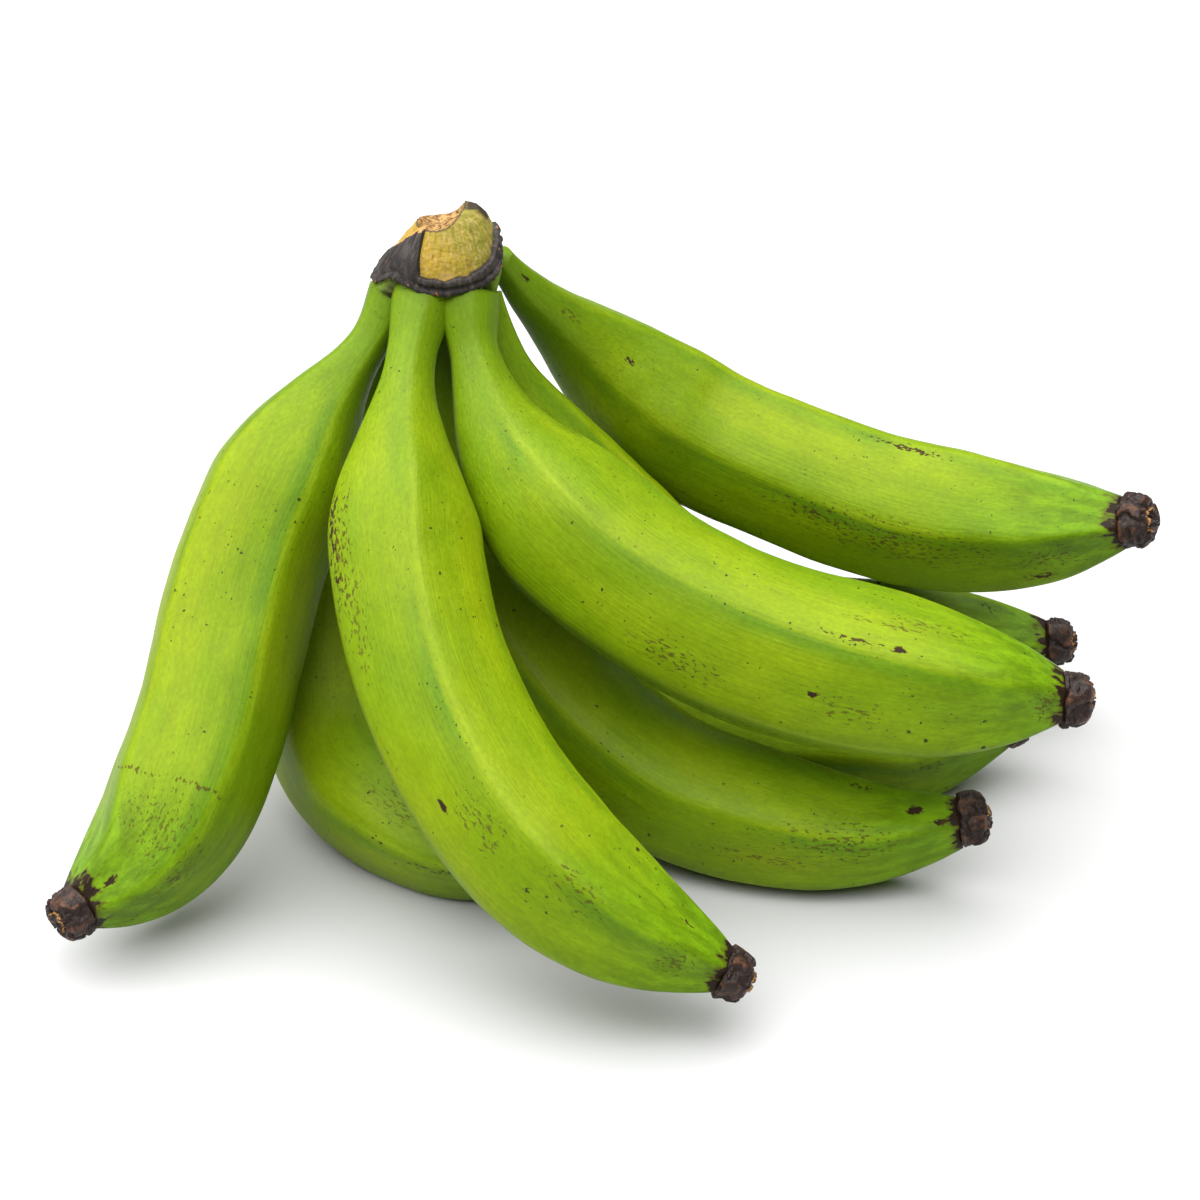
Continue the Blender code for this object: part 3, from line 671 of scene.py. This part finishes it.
class PLANTAINS_OT_blossom_ends(bpy.types.Operator):
    """Set a dried blossom end of creased folds, with a lip and a nub, on the tip of each fruit"""
    bl_idname = "plantains.blossom_ends"
    bl_label = "Blossom ends"

    def execute(self, context):
        settings = context.scene.plantain_ends
        material = make_bark_material(settings)
        last = len(BLOSSOM_OUTLINE) - 1
        for number, fruit in FRUIT_MODELS.items():
            build = upright_grid(BLOSSOM_COLUMNS, BLOSSOM_RINGS)
            marks_layer = build.verts.layers.float_vector.new("marks")
            root, along, face, side, _ = fruit.ring(fruit.end)
            radius = fruit.radius(fruit.blossom_start)
            seed = Vector((17.0 * number, 0.0, 0.0))
            for vertex in build.verts:
                walk = (vertex.co.z + 0.5) * last
                row = min(int(walk), last - 1)
                advance, width = (
                    between(low, high, ease(walk - row))
                    for low, high in zip(BLOSSOM_OUTLINE[row], BLOSSOM_OUTLINE[row + 1]))
                angle = math.atan2(vertex.co.y, vertex.co.x)
                across = math.cos(angle) * face + math.sin(angle) * side
                knob = 0.05 * math.sin(3 * angle + number) + 0.03 * math.sin(5 * angle + walk + 2 * number)
                point = root + (advance * BLOSSOM_LENGTH - 0.2) * along
                point += radius * width * (1.0 + knob) * across
                folds = Vector((math.cos(angle), math.sin(angle), 0.0)) * FOLDS_ACROSS
                folds.z = walk * FOLDS_ALONG
                bends = [noise.noise(point / 3.0 + seed + shift) for shift in FOLD_BENDS]
                folds += seed + 0.35 * Vector(bends)
                nearest, second = noise.voronoi(folds)[0][:2]
                crease = ease(1.0 - (second - nearest) / CREASE_WIDTH)
                fine = noise.noise(point / 1.6 + seed)
                push = settings.fold_depth / MM * (0.35 - crease) + 0.16 * fine
                outward = across if walk < FACE_LIP else (across * 0.3 + along).normalized()
                vertex.co = place_in_bunch(point + push * outward)
                ring = ease(1.0 - abs(walk - NUB_RING) / 0.8)
                lip = max(ease(1.0 - abs(walk - FIRST_LIP) / 0.8), ease(1.0 - abs(walk - FACE_LIP) / 0.6))
                vertex[marks_layer] = Vector((ring, max(lip, 0.75 * (1.0 - crease)) * (1.0 - crease), 0.0))
            finish_piece(build, f"blossom_bark_{number}", material, f"blossom_end_{number}")
        return {'FINISHED'}


def crown_reach(height, angle):
    """How far the crown's cushion reaches from its axis at a height and an angle."""
    heights = [row[0] for row in CROWN_ROWS]
    index = sum(1 for level in heights[1:-1] if level <= height)
    share = (height - heights[index]) / (heights[index + 1] - heights[index])
    left, right, front, back = (
        between(low, high, share) for low, high in zip(CROWN_ROWS[index][1:], CROWN_ROWS[index + 1][1:]))
    wide = between(left, right, ease(0.5 + 1.6 * math.cos(angle)))
    deep = between(front, back, ease(0.5 + 1.6 * math.sin(angle)))
    power = CROWN_SQUARENESS
    return (abs(math.cos(angle) / wide) ** power + abs(math.sin(angle) / deep) ** power) ** (-1.0 / power)


def crown_point(height, angle, grow):
    """A point of the cushion's skin, grown outwards if asked."""
    reach = crown_reach(height, angle) + grow
    return Vector((reach * math.cos(angle), reach * math.sin(angle), height))


class Scoop:
    """The knife's rounded scoop, a tilted ellipsoid."""
    turn = Matrix.Rotation(SCOOP_TILT, 3, 'Y')

    @classmethod
    def inside(cls, point):
        """Less than 1 inside the ellipsoid."""
        local = cls.turn.transposed() @ (point - SCOOP_CENTRE)
        return math.sqrt(sum((local[axis] / SCOOP_RADII[axis]) ** 2 for axis in range(3)))

    @classmethod
    def floor_height(cls, x, y):
        """The height of the scoop's lower surface, or None outside it."""
        back = cls.turn.transposed()
        start = back @ Vector((x - SCOOP_CENTRE.x, y - SCOOP_CENTRE.y, 0.0))
        rise = back @ Vector((0.0, 0.0, 1.0))
        a = sum((rise[axis] / SCOOP_RADII[axis]) ** 2 for axis in range(3))
        b = 2.0 * sum(rise[axis] * start[axis] / SCOOP_RADII[axis] ** 2 for axis in range(3))
        c = sum((start[axis] / SCOOP_RADII[axis]) ** 2 for axis in range(3)) - 1.0
        inner = b * b - 4.0 * a * c
        if inner < 0.0:
            return None
        return SCOOP_CENTRE.z + (-b - math.sqrt(inner)) / (2.0 * a)


def uncut_crown(walk, angle):
    """A point of the whole crown's outline: up its side, then over its top."""
    low, high = CROWN_ROWS[0][0], CROWN_ROWS[-1][0]
    if walk <= SIDE_SHARE:
        return crown_point(between(low, high, walk / SIDE_SHARE), angle, 0.0)
    inward = (walk - SIDE_SHARE) / (1.0 - SIDE_SHARE)
    point = crown_point(high, angle, 0.0) * (1.0 - inward)
    point.z = high
    return point


def scar_edges(angle):
    """The heights of the scar's lower and upper edges at an angle."""
    degrees = math.degrees(angle) % 360.0
    index = sum(1 for row in SCAR_EDGES[1:-1] if row[0] <= degrees)
    start, stop = SCAR_EDGES[index], SCAR_EDGES[index + 1]
    share = (degrees - start[0]) / (stop[0] - start[0])
    return tuple(between(low, high, share) for low, high in zip(start[1:], stop[1:]))


def make_crown_material(settings):
    """Cut banana crown: fibrous, drying flesh, yellow to green, with a tan knife cut and green below."""
    material, shader, add = new_material("cut_crown_flesh")
    straight = add('ShaderNodeAttribute', {}, attribute_name="straight").node.outputs['Vector']
    guide = add('ShaderNodeAttribute', {}, attribute_name="guide").node.outputs['Vector']
    cut, warm, root = add('ShaderNodeSeparateXYZ', {0: guide}).node.outputs
    # The dark attribute holds the dried cap, and painted shade in the hollow under the flap and the creases
    # between the necks.
    dark = add('ShaderNodeAttribute', {}, attribute_name="dark").node.outputs['Fac']
    place = add('ShaderNodeTexCoord', {}).node.outputs['Object']
    place = add('ShaderNodeVectorMath', {0: place, 'Scale': 1 / MM}, operation='SCALE')

    # Noise with grains of a given size in millimetres.
    noises = {}
    for key, source, size, detail in (
            ('fibre', straight, (0.9, 0.9, 4.0), 4.0), ('dash', straight, (0.9, 0.9, 2.2), 3.0),
            ('patch', straight, (5.0, 5.0, 6.0), 3.0), ('pit', place, (1.5, 0.8, 1.1), 4.0)):
        scaled = add('ShaderNodeVectorMath', {0: source, 1: grains(size)}, operation='MULTIPLY')
        noises[key] = add('ShaderNodeTexNoise', {'Vector': scaled, 'Scale': 1.0, 'Detail': detail})

    # The face: green to yellow, with short tan dashes and dark fibres.
    swing = add('ShaderNodeMapRange', {0: noises['patch'], 1: 0.3, 2: 0.7, 3: -0.3, 4: 0.3})
    warm = add('ShaderNodeMath', {0: warm, 1: swing}, operation='ADD', use_clamp=True)
    colour = add('ShaderNodeMix', {0: warm, 6: settings.flesh_green, 7: settings.flesh_yellow},
                 data_type='RGBA')
    dash = add('ShaderNodeMapRange', {0: noises['dash'], 1: 0.50, 2: 0.64, 3: 0.0, 4: 0.75})
    colour = add('ShaderNodeMix', {0: dash, 6: colour, 7: settings.flesh_tan}, data_type='RGBA')
    fibre = add('ShaderNodeMapRange', {0: noises['fibre'], 1: 0.42, 2: 0.30, 3: 0.0, 4: 0.5})
    colour = add('ShaderNodeMix', {0: fibre, 6: colour, 7: settings.cut_brown}, data_type='RGBA')

    # The knife cut and its thin dark lip.
    pit = add('ShaderNodeMapRange', {0: noises['pit'], 1: 0.40, 2: 0.56}, interpolation_type='SMOOTHSTEP')
    cut_colour = add('ShaderNodeMix', {0: pit, 6: settings.cut_brown, 7: settings.cut_cream},
                     data_type='RGBA')
    cut_share = add('ShaderNodeMapRange', {0: cut, 1: 0.45, 2: 0.55})
    colour = add('ShaderNodeMix', {0: cut_share, 6: colour, 7: cut_colour}, data_type='RGBA')
    below = add('ShaderNodeMapRange', {0: cut, 1: 0.40, 2: 0.48}, interpolation_type='SMOOTHSTEP')
    above = add('ShaderNodeMapRange', {0: cut, 1: 0.60, 2: 0.51}, interpolation_type='SMOOTHSTEP')
    lip = add('ShaderNodeMath', {0: below, 1: above}, operation='MULTIPLY')
    lip = add('ShaderNodeMath', {0: lip, 1: 0.85}, operation='MULTIPLY')
    colour = add('ShaderNodeMix', {0: lip, 6: colour, 7: settings.dried_and_shade_brown}, data_type='RGBA')

    # Green below the scar, then the dark colour: the dried cap, and painted shade in the hollow and the
    # creases between the necks.
    shade = add('ShaderNodeMapRange', {0: noises['fibre'], 1: 0.0, 2: 1.0, 3: 0.6, 4: 1.4})
    green = add('ShaderNodeVectorMath', {0: settings.root_green[:3], 'Scale': shade}, operation='SCALE')
    colour = add('ShaderNodeMix', {0: root, 6: colour, 7: green}, data_type='RGBA')
    colour = add('ShaderNodeMix', {0: dark, 6: colour, 7: settings.dried_and_shade_brown}, data_type='RGBA')

    height = add('ShaderNodeMath', {0: noises['pit'], 1: 1.2, 2: noises['fibre']}, operation='MULTIPLY_ADD')
    bump = add('ShaderNodeBump', {'Height': height, 'Strength': 0.8, 'Distance': 0.5 * MM})
    links = material.node_tree.links
    links.new(colour, shader.inputs['Base Color'])
    links.new(bump, shader.inputs['Normal'])
    shader.inputs['Roughness'].default_value = 0.6
    shader.inputs['Specular IOR Level'].default_value = 0.35
    return material


def find_cut(angle):
    """How far up the crown's outline the scoop begins, at an angle."""
    walk = CUT_SEARCH_START
    while walk < CUT_SEARCH_END and Scoop.inside(uncut_crown(walk, angle)) >= 1.0:
        walk += CUT_SEARCH_STEP
    return walk


class PLANTAINS_OT_crown(bpy.types.Operator):
    """Model the crown where the necks meet, with its scooped, fibrous cut"""
    bl_idname = "plantains.crown"
    bl_label = "Cut crown"

    def execute(self, context):
        settings = context.scene.plantain_crown
        rows = CROWN_SIDE_ROWS + CROWN_CUT_ROWS
        build = bmesh.new()
        bmesh.ops.create_uvsphere(build, u_segments=CROWN_COLUMNS, v_segments=rows, radius=1.0)
        straight_layer = build.verts.layers.float_vector.new("straight")
        guide_layer = build.verts.layers.float_vector.new("guide")
        dried_cap_and_shade_layer = build.verts.layers.float.new("dark")
        middle = SCOOP_CENTRE + CUT_MIDDLE
        middle.z = Scoop.floor_height(middle.x, middle.y)
        rims = {}
        for vertex in build.verts:
            # The cut guide is 0 on the side, 0.5 at the lip and 1 inside the scoop.
            angle = math.atan2(vertex.co.y, vertex.co.x)
            row = round((math.pi - math.acos(max(-1.0, min(1.0, vertex.co.z)))) / math.pi * rows)
            key = round(angle, 4)
            if key not in rims:
                rims[key] = find_cut(angle)
            rim = rims[key]
            if row == 0:
                point = Vector((0.0, 0.0, CROWN_ROWS[0][0]))
                cut = 0.0
            elif row <= CROWN_SIDE_ROWS:
                walk = rim * row / CROWN_SIDE_ROWS
                point = uncut_crown(walk, angle)
                cut = 0.5 - min((rim - walk) * 8.0, 0.5)
            else:
                inward = (row - CROWN_SIDE_ROWS) / CROWN_CUT_ROWS
                edge = uncut_crown(rim, angle)
                point = edge.lerp(middle, inward)
                floor = Scoop.floor_height(point.x, point.y)
                if floor is not None:
                    point.z = between(edge.z, floor, ease(inward * 6.0))
                cut = 0.5 + min(inward * 2.0, 0.5)

            # Warm at the lower left, green at the root below the scar.
            rough = noise.noise(point / 1.3) * 0.35 + noise.noise(point / 4.0) * 0.5
            streak = noise.noise(Vector((angle * 9.0, point.z / 6.0, 3.0)))
            low = scar_edges(angle)[0]
            warm = ease(0.55 - (point.x - 1.0) / 20.0 - (point.z - 173.0) / 26.0)
            root = ease((low + 1.5 - point.z) / 2.0)
            if cut > 0.5:
                point.z += rough * CUT_ROUGHNESS
            else:
                point += (rough * 0.35 + streak * 0.45) * Vector((math.cos(angle), math.sin(angle), 0.0))

            # Creases between the necks, and the dark colour: the dried cap, and painted shade in the hollow
            # and the creases.
            degrees = math.degrees(angle) % 360.0
            crease = root * max(ease(1.0 - abs(degrees - place) / CREASE_REACH) for place in NECK_CREASES)
            point -= crease * CREASE_DEPTH * Vector((math.cos(angle), math.sin(angle), 0.0))
            ragged = 2.5 * noise.noise(point / 2.0)
            into_cap = point - CAP_START + Vector((0.0, 0.0, ragged))
            cap = math.prod(ease(into_cap[axis] / CAP_EASE[axis]) for axis in range(3))
            hollow = ease(1.0 - (point - SHADED_HOLLOW_CENTRE).length / SHADED_HOLLOW_REACH + 0.2 * ragged)
            vertex.co = place_in_bunch(point)
            vertex[straight_layer] = Vector((14.0 * math.cos(angle), 14.0 * math.sin(angle), point.z))
            vertex[guide_layer] = Vector((cut, warm, root))
            # Painted shade: the hollow under the flap and the creases between the necks are darkened in
            # colour, as is the dried cap.
            vertex[dried_cap_and_shade_layer] = max(cap, hollow, crease ** 2)
        finish_piece(build, "cut_crown", make_crown_material(settings), "crown")
        return {'FINISHED'}


def make_scar_material(settings):
    """Dried bract tissue: thin black leather, creased, worn grey on its folds with painted sheen, with a dry
    tan edge.
    """
    material, shader, add = new_material("leathery_bract_scar")
    straight = add('ShaderNodeAttribute', {}, attribute_name="straight").node.outputs['Vector']
    rim = add('ShaderNodeAttribute', {}, attribute_name="rim").node.outputs['Fac']
    place = add('ShaderNodeTexCoord', {}).node.outputs['Object']
    place = add('ShaderNodeVectorMath', {0: place, 'Scale': 1 / MM}, operation='SCALE')

    # Noise with grains of a given size in millimetres.
    noises = {}
    for key, source, size, detail in (
            ('crease', straight, (1.3, 1.3, 5.0), 4.0), ('fine', place, (0.7, 0.7, 0.7), 3.0),
            ('spot', place, (2.2, 2.2, 2.8), 2.0)):
        scaled = add('ShaderNodeVectorMath', {0: source, 1: grains(size)}, operation='MULTIPLY')
        noises[key] = add('ShaderNodeTexNoise', {'Vector': scaled, 'Scale': 1.0, 'Detail': detail})
    # Grey on the creases: wear, and painted sheen in place of the lips' glints.
    worn = add('ShaderNodeMapRange', {0: noises['crease'], 1: 0.48, 2: 0.70, 3: 0.0, 4: 0.85})
    colour = add('ShaderNodeMix', {0: worn, 6: settings.scar_black, 7: settings.scar_grey_and_sheen}, data_type='RGBA')
    spot = add('ShaderNodeMapRange', {0: noises['spot'], 1: 0.665, 2: 0.71}, interpolation_type='SMOOTHSTEP')
    colour = add('ShaderNodeMix', {0: spot, 6: colour, 7: settings.scar_orange}, data_type='RGBA')
    torn = add('ShaderNodeMath', {0: noises['fine'], 1: 0.7, 2: rim}, operation='MULTIPLY_ADD')
    torn = add('ShaderNodeMapRange', {0: torn, 1: 0.95, 2: 1.15}, interpolation_type='SMOOTHSTEP')
    colour = add('ShaderNodeMix', {0: torn, 6: colour, 7: settings.scar_tan}, data_type='RGBA')
    height = add('ShaderNodeMath', {0: noises['fine'], 1: 0.4, 2: noises['crease']}, operation='MULTIPLY_ADD')
    bump = add('ShaderNodeBump', {'Height': height, 'Strength': 0.9, 'Distance': 0.6 * MM})
    links = material.node_tree.links
    links.new(colour, shader.inputs['Base Color'])
    links.new(bump, shader.inputs['Normal'])
    shader.inputs['Roughness'].default_value = 0.55
    shader.inputs['Specular IOR Level'].default_value = 0.4
    return material


class PLANTAINS_OT_scar(bpy.types.Operator):
    """Wrap the crown's foot in its dried, double-lipped leathery scar"""
    bl_idname = "plantains.scar"
    bl_label = "Leathery scar"

    def execute(self, context):
        settings = context.scene.plantain_crown
        build = bmesh.new()
        bmesh.ops.create_circle(build, cap_ends=False, segments=SCAR_ROWS, radius=1.0)
        bmesh.ops.rotate(build, verts=build.verts, matrix=Matrix.Rotation(math.pi / 2, 3, 'X'))
        bmesh.ops.translate(build, verts=build.verts, vec=Vector((SPIN_RADIUS, 0.0, 0.0)))
        bmesh.ops.spin(
            build, geom=build.verts[:] + build.edges[:], cent=Vector(), axis=Vector((0.0, 0.0, 1.0)),
            dvec=Vector(), angle=math.tau, steps=SCAR_COLUMNS, use_merge=True, use_duplicate=False)
        straight_layer = build.verts.layers.float_vector.new("straight")
        rim_layer = build.verts.layers.float.new("rim")
        for vertex in build.verts:
            angle = math.atan2(vertex.co.y, vertex.co.x)
            outward = math.hypot(vertex.co.x, vertex.co.y) - SPIN_RADIUS
            # The circle's top and bottom are cut square, so that the band has blunt edges.
            upward = min(max(vertex.co.z * 1.4, -1.0), 1.0)
            low, high = scar_edges(angle)
            low += 0.4 + 0.8 * noise.noise(Vector((angle * 4.0, 0.0, 1.0)))
            high += 0.7 * noise.noise(Vector((angle * 5.0, 0.0, 9.0)))
            height = between(low, high, 0.5 + 0.5 * upward)
            groove = math.exp(-((height - (low + GROOVE_HEIGHT)) / GROOVE_WIDTH) ** 2)
            crease = noise.noise(Vector((angle * 10.0, height / 6.0, 4.0)))
            crease += 0.6 * noise.noise(Vector((angle * 22.0, height / 2.5, 8.0)))
            proud = SCAR_PROUD - GROOVE_DEPTH * groove + SCAR_CREASES * crease
            grow = between(-SCAR_SUNK, proud, 0.5 + 0.5 * outward)
            degrees = math.degrees(angle) % 360.0
            on_flap = ease((degrees - FLAP_START) / FLAP_EASE) * ease((FLAP_END - degrees) / FLAP_EASE)
            vertex.co = place_in_bunch(crown_point(height, angle, grow))
            vertex[straight_layer] = Vector((16.0 * math.cos(angle), 16.0 * math.sin(angle), height))
            vertex[rim_layer] = on_flap * ease(1.0 - (high - height) / RIM_WIDTH)
        bmesh.ops.recalc_face_normals(build, faces=build.faces)
        finish_piece(build, "leathery_scar", make_scar_material(settings), "bract_scar")
        return {'FINISHED'}


class PLANTAINS_OT_studio(bpy.types.Operator):
    """Set the pale floor, the soft light from above and the camera at the photo's angle"""
    bl_idname = "plantains.studio"
    bl_label = "Studio"

    def execute(self, context):
        settings = context.scene.plantain_studio
        scene = context.scene
        build = bmesh.new()
        bmesh.ops.create_grid(build, x_segments=4, y_segments=4, size=FLOOR_HALF)
        bmesh.ops.translate(build, verts=build.verts, vec=Vector((0.0, 0.0, -FLOOR_DROP)))
        mesh = bpy.data.meshes.new("floor")
        build.to_mesh(mesh)
        build.free()
        floor = bpy.data.objects.new("floor", mesh)
        scene.collection.objects.link(floor)
        paper, shader, _ = new_material("matte_pale_floor")
        shader.inputs['Base Color'].default_value = settings.floor_white
        shader.inputs['Roughness'].default_value = 0.9
        shader.inputs['Specular IOR Level'].default_value = 0.1
        mesh.materials.append(paper)

        world = bpy.data.worlds.new("white_surround")
        world.use_nodes = True
        background = world.node_tree.nodes["Background"]
        background.inputs['Color'].default_value = (1.0, 1.0, 1.0, 1.0)
        background.inputs['Strength'].default_value = settings.sky_strength
        scene.world = world

        key_data = bpy.data.lights.new("broad_key", 'SUN')
        key_data.energy = settings.key_strength
        key_data.angle = settings.key_spread
        key = bpy.data.objects.new("broad_key", key_data)
        key.rotation_mode = 'QUATERNION'
        key.rotation_quaternion = Vector(settings.key_from).to_track_quat('Z', 'Y')
        scene.collection.objects.link(key)

        camera_data = bpy.data.cameras.new("camera")
        camera_data.lens = settings.camera_lens
        camera_data.sensor_width = 36.0
        camera_data.clip_start = 0.01
        camera = bpy.data.objects.new("camera", camera_data)
        camera.location = settings.camera_place
        camera.rotation_euler = (math.pi / 2 - settings.camera_pitch, 0.0, 0.0)
        scene.collection.objects.link(camera)
        scene.camera = camera
        scene.view_settings.view_transform = 'Standard'
        return {'FINISHED'}


class PLANTAINS_PT_panel(bpy.types.Panel):
    """The steps that dress the bunch"""
    bl_idname = "PLANTAINS_PT_panel"
    bl_label = "Green plantains"
    bl_space_type = 'VIEW_3D'
    bl_region_type = 'UI'
    bl_category = "Plantains"

    def draw(self, context):
        scene = context.scene
        for group in (scene.plantain_skin, scene.plantain_ends, scene.plantain_crown, scene.plantain_studio):
            box = self.layout.box()
            for key in group.__annotations__:
                box.prop(group, key)
        for operator in OPERATORS:
            self.layout.operator(operator.bl_idname)


GROUPS = {
    "plantain_skin": PlantainSkinSettings,
    "plantain_ends": PlantainEndSettings,
    "plantain_crown": PlantainCrownSettings,
    "plantain_studio": PlantainStudioSettings,
}
OPERATORS = (
    PLANTAINS_OT_skins,
    PLANTAINS_OT_blossom_ends,
    PLANTAINS_OT_crown,
    PLANTAINS_OT_scar,
    PLANTAINS_OT_studio,
)


def register():
    for name, group in GROUPS.items():
        bpy.utils.register_class(group)
        setattr(bpy.types.Scene, name, bpy.props.PointerProperty(type=group))
    for operator in OPERATORS:
        bpy.utils.register_class(operator)
    bpy.utils.register_class(PLANTAINS_PT_panel)


def unregister():
    bpy.utils.unregister_class(PLANTAINS_PT_panel)
    for operator in reversed(OPERATORS):
        bpy.utils.unregister_class(operator)
    for name, group in GROUPS.items():
        delattr(bpy.types.Scene, name)
        bpy.utils.unregister_class(group)


def main():
    register()
    bpy.ops.plantains.skins()
    bpy.ops.plantains.blossom_ends()
    bpy.ops.plantains.crown()
    bpy.ops.plantains.scar()
    bpy.ops.plantains.studio()


if __name__ == "__main__":
    main()
